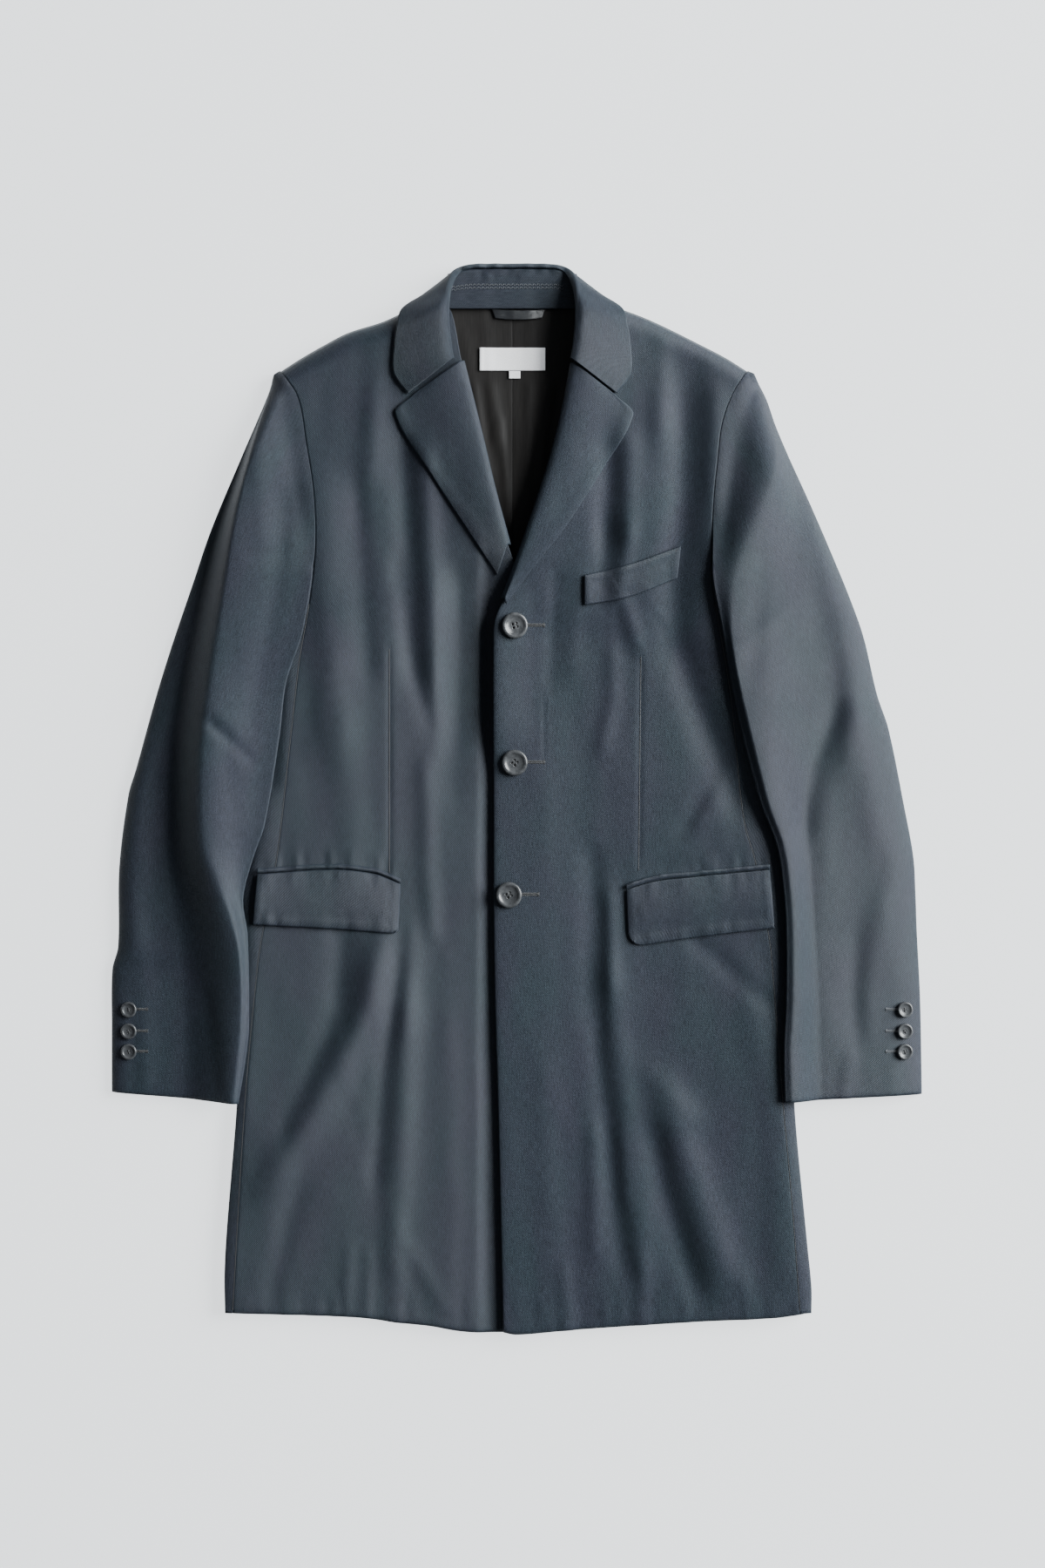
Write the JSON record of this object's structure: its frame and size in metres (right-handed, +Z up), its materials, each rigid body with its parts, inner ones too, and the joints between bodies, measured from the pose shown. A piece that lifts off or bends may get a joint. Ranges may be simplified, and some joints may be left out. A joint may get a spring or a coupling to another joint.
{
  "type": "chesterfield coat laid flat",
  "caption": "Single-breasted wool chesterfield coat, buttoned and laid flat on its back with its sleeves at its sides.",
  "frame": {"origin": "centre of the coat's outline, on the surface that it lies on", "axes": "+Z up from the surface, +Y towards the collar, +X to the wearer's left"},
  "size_m": [0.7152, 0.941, 0.0392],
  "materials": {
    "wool": "fine dark navy wool twill, softly lustrous",
    "lining": "dark brown-black lining with a satin sheen",
    "horn": "dark grey horn, polished rim and satin dish",
    "ribbon": "bare white woven ribbon"
  },
  "bodies": {
    "root": {"front_left": "wool", "front_right": "wool", "side_body_left": "wool", "side_body_right": "wool", "back_left": "wool", "back_right": "wool", "sleeve_left_top": "wool", "sleeve_left_under": "wool", "sleeve_right_top": "wool", "sleeve_right_under": "wool", "lapel_left": "wool", "lapel_right": "wool", "collar": "wool", "collar_stand": "wool", "pocket_flap_left": "wool", "pocket_flap_right": "wool", "pocket_jet_left": "wool", "pocket_jet_right": "wool", "breast_welt": "wool", "lining_back_left": "lining", "lining_back_right": "lining", "hanger_loop": "lining", "label": "ribbon", "size_tab": "ribbon", "front_button_1": "horn", "front_button_2": "horn", "front_button_3": "horn", "cuff_button_left_1": "horn", "cuff_button_left_2": "horn", "cuff_button_left_3": "horn", "cuff_button_right_1": "horn", "cuff_button_right_2": "horn", "cuff_button_right_3": "horn"}
  },
  "joints": []
}
